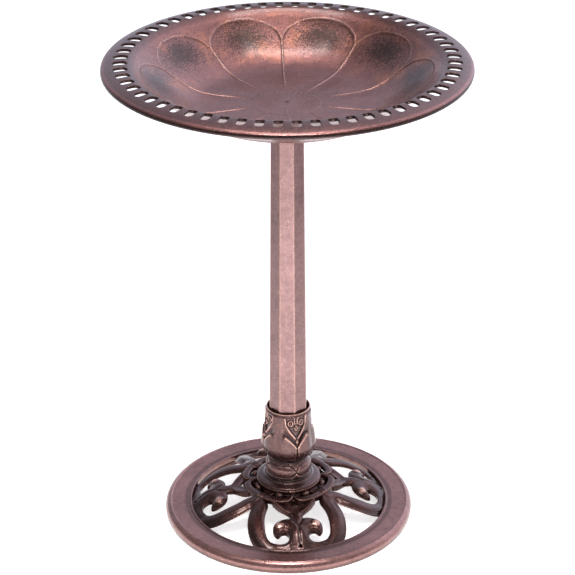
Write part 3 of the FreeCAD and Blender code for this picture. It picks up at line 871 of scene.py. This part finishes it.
def cup_beads(across, height):
    """The drop bead under each panel's point and the four-petalled bead within the panel."""
    beads = dome_bump(across, height - 130.0, 2.6, 4.2, 2.6)
    for x, y in ((-2.1, 0), (2.1, 0), (0, -2.8), (0, 2.8)):
        beads = np.maximum(beads, dome_bump(across - x, height - 151.5 - y, 2.1, 2.4, 2.4))
    return beads


def cup_scrolls(across, height, above):
    """The pair of curls at the top of each panel and the stem between them."""
    off_eye = np.hypot(across - 8.6, (height - 159.5) * 0.9)
    curl = 2.0 * np.exp(-((off_eye - 3.7) / 1.25) ** 2) * (above > 0)
    eye = 1.8 * np.exp(-(off_eye / 1.5) ** 2)
    off_stem = across - 1.9 - 0.12 * np.clip(height - 158, 0, None)
    stem = 1.7 * np.exp(-(off_stem / 1.2) ** 2) * smoothstep(155, 158, height)
    return np.maximum(np.maximum(curl, eye), stem)


def bulge_pads(across, height):
    """The soft pads on the bulge under the cup, parted by a level line that splits in two at each notch."""
    spread = 9.0 * (1 - np.exp(-across / 4.2))
    off_line = np.abs(np.abs(height - 77.5) - spread) * 0.8
    return 1.5 * smoothstep(0.2, 2.4, off_line) - 0.7


def collar_relief(degrees, height):
    """How far the leaf ornament stands out from the turned collar."""
    phi = np.mod(degrees - NOTCH_TURN + 45, 90) - 45
    side = np.abs(phi)
    across = side * DEGREE_ON_CUP
    above = above_panel_edge(side, height)
    relief = cup_leaves(side, height)
    relief += (-1.7 - relief) * smoothstep(-0.5, 0.8, above)
    ornament = np.maximum(cup_beads(phi * DEGREE_ON_CUP, height), cup_scrolls(across, height, above))
    on_cup = smoothstep(94, 99, height) * (1 - smoothstep(168.5, 170.5, height))
    on_bulge = smoothstep(64.5, 67.5, height) * (1 - smoothstep(87.5, 90.5, height))
    return (relief + ornament) * on_cup + bulge_pads(across, height) * on_bulge


def collar():
    """The leaf collar: a turned cup with relief on its outside."""
    outside = smooth_line([(32.2, CUP_TOP - 1.2), (31.9, 171.4), (33.2, 169.2), (32.9, 162), (33.2, 153),
                           (34.6, 139), (36.2, 127), (37.4, 115), (36.5, 106.5), (33.4, 98.5), (28.7, 92),
                           (30.2, 86.5), (32.8, 79), (33.4, 71), (32.2, 63.4)], 15)
    foot = smooth_line([(33.4, 62.4), (35.6, 61.9), (36.6, 60.6), (38.4, 59.5), (43, 58.2),
                        (FLANGE_RADIUS - 1.3, 57.0), (FLANGE_RADIUS - 0.1, 55.9), (FLANGE_RADIUS - 0.1, 54.6),
                        (FLANGE_RADIUS - 1.0, COLLAR_LOW[2])], 7)
    inside = [(BORE_RADIUS, COLLAR_LOW[2]), (BORE_RADIUS, CUP_FLOOR - 0.5), (BORE_RADIUS + 0.5, CUP_FLOOR),
              (CUP_INNER - 2, CUP_FLOOR), (CUP_INNER, CUP_FLOOR + 2), (CUP_INNER, 130), (CUP_INNER, 160),
              (CUP_INNER, CUP_TOP - 1), (30.8, CUP_TOP - 0.25), (31.4, CUP_TOP), (31.95, CUP_TOP - 0.4)]
    count = 420
    degrees = np.arange(count) * 360.0 / count
    rings = Rings()
    levels = [(radius + collar_relief(degrees, np.full(count, height)), height) for radius, height in outside]
    levels += list(foot) + inside
    numbers = [rings.ring(lathe_points(radius, height, count)) for radius, height in levels]
    rings.close(numbers)
    thing = rings.build("leaf_collar")
    height = read_points(thing)[:, 2] / MM
    # Painted shade in the band under the cup, and painted shade with patina over the flange.
    painted_shade = 0.7 * np.exp(-((height - 92.5) / 3.5) ** 2) + 0.32 * smoothstep(72, 60, height)
    set_values(thing, "wear_and_painted_light", edge_wear(thing, 14, 0.45) - painted_shade)
    return thing


# ---------------------------------------------------------------- base

RING_INNER = 144.0
DOME = smooth_line([(28, 57), (45, 55), (69, 50), (90, 44), (110, 36), (130, 24), (150, 10)], 16)
CROWN_RADIUS = 69.0
SCROLL_DEPTH = 8.3
GRID_STEP = 0.8
SEAM_OVERLAP = 1.2

# Outlines of one motif that points along +X, as (along, across), on its +Y side.
WINDOW = [(64.5, 30), (65, 34), (68, 38.5), (73, 41.3), (80, 44), (88, 46), (97, 47), (106, 47.2),
          (113, 46.4), (119, 44.3), (124, 40.5), (128, 35), (130.3, 28.5), (130.4, 21), (128, 16),
          (123, 14.4), (118.6, 15.6), (116, 19), (115.6, 23), (117, 26.5), (118.7, 29.5), (118, 32.6),
          (114, 35.8), (108, 36.6), (101.5, 34.8), (96.3, 30), (93.6, 24), (92.6, 17.5), (92.8, 12),
          (91, 9.6), (87.5, 9.9), (83.5, 11.9), (79, 16.5), (74.5, 21.4), (69.5, 26)]
ARM_OUTSIDE = [(62, 66), (63.5, 63.5), (70, 66.2), (80, 69.5), (90, 71.6), (98, 72), (106, 71.5), (114, 70),
               (121, 67.3), (129, 63), (137, 57)]
BRACKET_CREST = [(60, 28.8, 49.5), (66.5, 25.2, 47.2), (73, 19, 44.2), (78.6, 10.5, 41.4), (82, 3, 40.1),
                 (82.4, -3, 40)]
NECK_SEAM = [(92.5, 10), (96, 8.8), (102, 6), (107.5, 2.6), (112, 0), (120, 0), (134, 0)]
SPINE = smooth_line([(80, 40.5), (92, 39.8), (100, 39), (110, 37), (118, 34.8), (125, 31), (132, 25.5),
                     (140, 18.5), (148, 13)], 8)
DIAMOND = ((59.0, 0.0), (66.5, 7.5), (73.6, 0.0))
TRIANGLE = (136.5, 141.0, 3.0)
CURL_HEAD = (108.0, 27.5)
HUB_RADIUS = 47.2
CROWN_HOLE = 16.0
POCKET_COUNT = 8
POCKET_RADIUS = 53.6
POCKET_FLOOR = 42.5
# How far the two lines beside each diagonal of the base lie from it.
DIAGONAL_LINES = (0.0, 3.4)
MOTIF_TURNS = {"scroll_right": 0, "scroll_back": 90, "scroll_left": 180, "scroll_front": 270}
RIB_COUNT = 24


def dome_height(radius):
    """The level of the scrollwork's crests."""
    return np.interp(radius, DOME[:, 0], DOME[:, 1])


def inside_outline(x, y, outline):
    """Whether each point lies within a closed outline."""
    inside = np.zeros(x.shape, bool)
    for a, b in zip(outline, np.roll(outline, -1, axis=0)):
        crosses = (a[1] > y) != (b[1] > y)
        slope = (b[0] - a[0]) / (b[1] - a[1] + 1e-12)
        inside ^= crosses & (x < a[0] + slope * (y - a[1]))
    return inside


def closed_smooth(points, per_span=8):
    """A smooth closed line through the points."""
    points = list(points)
    return smooth_line(points[-2:] + points + points[:2], per_span)[2 * per_span:-per_span - 1]


def depth_outside(x, y, outline):
    """Distance from an outline, positive outside it and negative within."""
    gap = distance_to_line(x, y, np.vstack([outline, outline[:1]]))[0]
    return np.where(inside_outline(x, y, outline), -gap, gap)


def diamond_depth(along, across):
    """Distance from the diamond hole's edges, positive outside it."""
    (near, _), (middle, half), (far, _) = DIAMOND
    side = np.abs(across) / half
    reach = np.where(along < middle, (middle - along) / (middle - near), (along - middle) / (far - middle))
    return (side + reach - 1) * half * 0.7


def triangle_depth(along, across):
    """Distance from the small triangle between the scrolls' feet, positive outside it."""
    tip, back, half = TRIANGLE
    return np.maximum(along - back, np.abs(across) - (along - tip) * half / (back - tip))


def rounded_edge(depth, width, fall):
    """The drop of a rounded edge: fall at the edge itself, nothing further in than width."""
    x = np.clip(1 - depth / width, 0, 1)
    return fall * (1 - np.sqrt(1 - x ** 2))


def crown_edge(across):
    """The radius of the crown's outer edge, which arches inwards over each diamond."""
    return CROWN_RADIUS - 13.0 * np.exp(-np.abs(across) / 5.0)


def plate_field(top, under, plan, z):
    """The field of a plate from its upper surface, underside and plan depth: negative inside."""
    slope_x, slope_y = np.gradient(top, GRID_STEP)
    steep = np.sqrt(1 + np.minimum(slope_x ** 2 + slope_y ** 2, 4))
    upper = (z - top[..., None]) / steep[..., None]
    return np.maximum(np.maximum(upper, under[..., None] - z), plan[..., None])


def grid_over(low, high):
    """Sample places between two corners: level x and y arrays, and the heights."""
    counts = [int(round((b - a) / GRID_STEP)) + 1 for a, b in zip(low, high)]
    x, y, z = (a + np.arange(count) * GRID_STEP for a, count in zip(low, counts))
    across, along = np.meshgrid(y, x)
    return along, across, z[None, None, :]


def arm_top(along, across, outer):
    """The arms' upper surface: a crest that falls to a thin ledge along the outer side."""
    crest = dome_height(np.hypot(along, 26 + 0.5 * across)) - 1.0
    fall = np.minimum(8.6 * np.clip(1 - outer / 11.5, 0, 1) ** 2, 4.6)
    ledge = 0.5 * smoothstep(2.4, 1.7, outer)
    groove = 0.5 * np.exp(-((outer - 5.2) / 0.7) ** 2)
    return crest - fall - ledge - groove


def middle_top(along, across, window):
    """The neck and the two scrolls, with a valley between their stems and a bulb at each head."""
    spine = np.interp(along, SPINE[:, 0], SPINE[:, 1]) - 0.0036 * across ** 2
    leaning = 0.2 * np.clip(across - 3.5, 0, 12) * smoothstep(106, 118, along)
    head_off = np.hypot((along - CURL_HEAD[0]) / 1.15, across - CURL_HEAD[1])
    bulb = 2.6 * np.clip(1 - (head_off / 9.0) ** 2, 0, 1)
    seam = distance_to_line(along, across, smooth_line(NECK_SEAM, 8))[0]
    rim_line = 0.6 * np.exp(-((window - 3.2) / 0.8) ** 2) * smoothstep(98, 104, along)
    return spine - leaning + bulb - rim_line - 1.3 * np.exp(-(seam / 2.0) ** 2)


def bracket_top(along, across, window):
    """The V between crown and neck, and how far each point belongs to it."""
    gap, height = distance_to_line(along, across, smooth_line(BRACKET_CREST, 8))
    height = height[..., 0]
    crest = [point[:2] for point in BRACKET_CREST[:-1]]
    border = np.array([(50, 0), (50, 28.5)] + crest + [(82.4, 0)], float)
    inner = inside_outline(along, across, border)
    web = dome_height(np.hypot(along, across)) - 6.6
    share = smoothstep(9.5, 1.8, gap)
    inside_top = height * share + web * (1 - share)
    outside_top = height - rounded_edge(window, 3.0, 2.6)
    zone = np.where(inner, 1.0, smoothstep(4.2, 3.0, gap)) * smoothstep(34, 30, across)
    return np.where(inner, inside_top, outside_top), zone


def motif_surface(u, v):
    """The upper surface, the underside and the plan depth of one motif (positive in its openings)."""
    across = np.abs(v)
    along, across = np.maximum(u, across), np.minimum(u, across)
    window = depth_outside(along, across, closed_smooth(WINDOW))
    outside_line = smooth_line(ARM_OUTSIDE, 8)
    to_outside = distance_to_line(along, across, outside_line)[0]
    beyond = (across > np.interp(along, outside_line[:, 0], outside_line[:, 1])) & (along > 63.5)
    outer = np.where(beyond, -to_outside, to_outside)
    share = smoothstep(32, 44, across)
    top = middle_top(along, across, window) * (1 - share) + arm_top(along, across, outer) * share
    top = top - rounded_edge(window, 8.0, 4.6)
    bracket, zone = bracket_top(along, across, window)
    top = top * (1 - zone) + bracket * zone
    diamond = diamond_depth(along, across)
    top = top - rounded_edge(diamond, 2.0, 1.0)
    radius = np.hypot(along, across)
    for offset in DIAGONAL_LINES:
        ridge = np.exp(-(((along - across) / math.sqrt(2) - offset) / 1.1) ** 2)
        top = top + 1.1 * ridge * smoothstep(80, 74, radius) * smoothstep(64, 70, radius)
    thin = smoothstep(34, 26, across) * smoothstep(97, 86, along)
    under = dome_height(np.hypot(along, 26 + 0.5 * across)) - SCROLL_DEPTH - 3.0 * thin
    plan = np.maximum(np.maximum(-window, -outer), np.maximum(-diamond, -triangle_depth(along, across)))
    return top, under, plan


def motif_mesh():
    """Points and faces of one motif that points along +X."""
    low, high = (44.0, -78.0, -2.0), (146.4, 78.0, 55.0)
    u, v, z = grid_over(low, high)
    top, under, plan = motif_surface(u, v)
    radius = np.hypot(u, v)
    cut = np.maximum(radius - RING_INNER - 0.4, crown_edge(v) - 3.0 - radius)
    cut = np.maximum(cut, (np.abs(v) - u) / math.sqrt(2) - SEAM_OVERLAP)
    field = plate_field(top, under, np.maximum(plan, cut), z)
    points, quads = level_surface(field, np.array(low), GRID_STEP)
    return relaxed(points, quads, 3), quads


def crown_rim(across, along, radius, degrees):
    """The crown's upper surface, and how far each place lies from its pocket. Degrees are from its middle."""
    pull = CROWN_RADIUS - crown_edge(across)
    rim = 47.2 + 4.0 * np.sqrt(np.clip(1 - ((radius + pull - 63.2) / 7.6) ** 2, 0, 1)) + 0.09 * pull
    from_corner = (along - across) / math.sqrt(2)
    for offset in DIAGONAL_LINES:
        rim = rim + 1.3 * np.exp(-((from_corner - offset) / 1.1) ** 2) * smoothstep(50, 53, radius)
    past_end = np.maximum(np.abs(degrees) - 9.5, 0) * math.pi / 180 * 54.0
    pocket = np.hypot(radius - POCKET_RADIUS, past_end) - 4.9
    return rim - rounded_edge(pocket, 2.6, 1.6), pocket


def crown_field(x, y, z):
    """The crown's field: the pierced rim, the pockets' floor, the flange's seat and the beads."""
    radius = np.hypot(x, y)
    degrees = np.degrees(np.arctan2(y, x))
    phi = np.radians(np.mod(degrees + 45, 90) - 45)
    along, across = radius * np.cos(phi), np.abs(radius * np.sin(phi))
    to_pocket = np.mod(degrees, 360 / POCKET_COUNT) - 180 / POCKET_COUNT
    rim, pocket = crown_rim(across, along, radius, to_pocket)
    hole = (CROWN_HOLE - radius)[..., None]
    plan = np.maximum(radius - crown_edge(across), CROWN_HOLE - radius)
    solid = plate_field(rim, dome_height(radius) - SCROLL_DEPTH, plan, z)
    solid = np.maximum(solid, -pocket[..., None])
    plate_edge = 60.0 + 8.0 * np.exp(-(across / 6.0) ** 2)
    floor_plate = np.maximum(np.abs(z - POCKET_FLOOR + 3.2) - 3.2, (radius - plate_edge)[..., None])
    seat = np.maximum((radius - HUB_RADIUS)[..., None], z - COLLAR_LOW[2])
    bead_x = radius * np.cos(np.radians(to_pocket)) - 51.6
    bead_y = radius * np.sin(np.radians(to_pocket)) * 0.8
    bead = np.sqrt((bead_x ** 2 + bead_y ** 2)[..., None] + (z - 48.6) ** 2) - 4.0
    plates = np.minimum(np.maximum(floor_plate, hole), np.maximum(np.maximum(seat, 40.0 - z), hole))
    return np.minimum(np.minimum(solid, plates), bead)


def crown():
    """The crown under the collar's flange, with a bead in each of its eight pockets."""
    low, high = (-70.4, -70.4, 34.0), (70.4, 70.4, 57.0)
    points, quads = level_surface(crown_field(*grid_over(low, high)), np.array(low), GRID_STEP)
    points = relaxed(points, quads, 3)
    thing = make_object("pierced_crown", points, [quads])
    # Painted shade on the low parts seen through each diamond hole.
    shade_behind_diamond = 0.6 * smoothstep(47, 44, points[:, 2]) * (np.hypot(points[:, 0], points[:, 1]) > 57)
    set_values(thing, "wear_and_painted_light", edge_wear(thing, 8, 0.6) - shade_behind_diamond)
    return thing


def base_ring():
    """The broad ring: rolled outside, flat top face, bead at its inner edge and a channel below; base_ribs
    makes the ribs in the channel.
    """
    top = RING_HIGH[2] - 1
    profile = list(smooth_line([(RING_INNER, 0.8), (RING_INNER, 6.6)], 2))
    profile += [(RING_INNER + 0.5, 7.1), (RING_INNER + 0.5, 8.1), (RING_INNER, 8.7)]
    profile += list(smooth_line([(RING_INNER, top - 1.2), (RING_INNER + 0.5, top + 0.4),
                                 (RING_INNER + 1.8, top + 0.8), (RING_INNER + 3.4, top + 0.3),
                                 (RING_INNER + 4.4, top - 0.7), (RING_INNER + 6, top - 0.5),
                                 (165, top - 0.1), (172.8, top), (174.3, top + 0.5), (175.6, top + 1),
                                 (177, top + 0.4), (180.2, top - 1.7), (BASE_RADIUS - 0.9, top - 4.6),
                                 (BASE_RADIUS, 8.4), (BASE_RADIUS - 0.4, 3.6), (BASE_RADIUS - 1.3, 0.7),
                                 (BASE_RADIUS - 2.0, 0)], 8))
    profile += [(BASE_RADIUS - 3.6, 0), (BASE_RADIUS - 4.0, 0.6), (BASE_RADIUS - 3.2, 7.0),
                (176, 12.6), (RING_INNER + 4, 12.4), (RING_INNER + 3, 11.4), (RING_INNER + 3, 0.6),
                (RING_INNER + 2.5, 0), (RING_INNER + 0.6, 0)]
    shell = turned_object("ground_ring", profile, 480)
    set_values(shell, "wear_and_painted_light", 0.8 * edge_wear(shell, 4, 0.35) - ring_painted_shade(shell, top))
    return shell


def ring_painted_shade(shell, top):
    """Darker near the ground, in the groove of the top face, on the inner wall, and a little on the top face
    at the front; near the ground, on the inner wall and at the front this is painted shade.
    """
    x, y, height = (read_points(shell) / MM).T
    radius = np.hypot(x, y)
    on_top = smoothstep(13, 15, height)
    painted_shade = 0.38 * smoothstep(9, 3, height)
    painted_shade += 0.3 * on_top * smoothstep(6, 3, np.abs(radius - RING_INNER - 6))
    painted_shade += 0.5 * smoothstep(top - 0.2, top - 1.6, height) * (radius < RING_INNER + 1)
    off_front = np.degrees(np.arctan2(x, -y))
    return painted_shade + 0.13 * np.exp(-(off_front / 40) ** 2) * on_top


def base_ribs():
    """The radial ribs inside the ring's channel."""
    start, end = RING_INNER + 2.0, BASE_RADIUS - 4.5
    half, low, high, bevel = 1.0, 1.0, 12.9, 0.4
    outline = np.array([(-half, low + bevel), (bevel - half, low), (half - bevel, low), (half, low + bevel),
                        (half, high), (-half, high)])
    rings = Rings()
    for k in range(RIB_COUNT):
        turn = (k + 0.5) * 360 / RIB_COUNT
        inner, outer = (rings.ring(turn_about_z(np.insert(outline, 0, radius, axis=1), turn))
                        for radius in (start, end))
        rings.bridge(inner, outer)
        rings.add_faces(np.array([inner[::-1], outer]))
    thing = rings.build("ring_ribs")
    set_values(thing, "wear_and_painted_light", np.zeros(len(thing.data.vertices)))
    return thing


def motifs(material):
    """The four scrollwork castings, with a painted highlight on the scrolls' heads and painted shade towards
    the ring.
    """
    points, quads = motif_mesh()
    # Painted shade where the scrolls fall towards the ring.
    painted_shade = 0.34 * smoothstep(112, 136, np.hypot(points[:, 0], points[:, 1]))
    # Painted highlight on top of each scroll's head.
    off_head = np.hypot(points[:, 0] - CURL_HEAD[0], np.abs(points[:, 1]) - CURL_HEAD[1])
    painted_head_highlight = 0.85 * np.exp(-(off_head / 5.5) ** 2) * (points[:, 2] > 34)
    for node, turn in MOTIF_TURNS.items():
        motif = make_object(node + "_casting", turn_about_z(points, turn), [quads])
        set_values(motif, "wear_and_painted_light", edge_wear(motif, 8, 0.6) + painted_head_highlight - painted_shade)
        finish_piece(motif, "base", "base_copper", material, node)


# ---------------------------------------------------------------- the whole scene

make_camera()
make_floor()
make_world()
make_light("overhead", 180, 79, 2.4, (1.2, 0.32), 13, tint=(1.0, 0.98, 0.97))
make_light("spot", 12, 74, 2.4, (0.2, 0.2), 4.5, tint=(1.0, 0.96, 0.92))
make_light("key", 20, 48, 3.0, (0.35, 0.35), 10, tint=(1.0, 0.96, 0.92))
make_light("left", -55, 48, 3.2, (0.8, 1.4), 4)
make_light("front_floor", 0, 89, 2.2, (0.7, 0.8), 9, target=toward(0) * 0.95, spread=50)
bpy.context.scene.view_settings.view_transform = "Standard"

bowl_paint = copper_paint("bowl_paint", COPPER_BOWL, 0.45, sprayed=True)
pole_paint = copper_paint("pole_paint", COPPER_MAIN, 0.4)
collar_paint = copper_paint("collar_paint", COPPER_RED, 0.6, 0.55)
ring_paint = copper_paint("ring_paint", COPPER_RING, 0.35, 0.13)
casting_paint = copper_paint("casting_paint", COPPER_CAST, 0.4, 0.78)

finish_piece(bowl(), "bowl", "bowl_copper", bowl_paint, "bowl")
finish_piece(pole(), "pole", "pole_copper", pole_paint, "pole")
finish_piece(collar(), "base", "collar_copper", collar_paint, "collar")
finish_piece(base_ring(), "base", "base_copper", ring_paint, "base_ring")
finish_piece(base_ribs(), "base", "base_copper", ring_paint)
finish_piece(crown(), "base", "base_copper", casting_paint, "hub_crown")
motifs(casting_paint)

black_plastic = plain_plastic("black_plastic", (0.020, 0.018, 0.018), 0.5)
nylon = plain_plastic("nylon", (0.62, 0.60, 0.54), 0.42)
zinc = zinc_steel("zinc_steel")
for node in ("pole_top_plug", "pole_bottom_plug", "spigot_plate"):
    set_material(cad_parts[node], black_plastic)
for node in ("upper_washer", "lower_washer"):
    set_material(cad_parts[node], nylon)
for node in ("plate_screws", "collar_screws"):
    set_material(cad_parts[node], zinc)
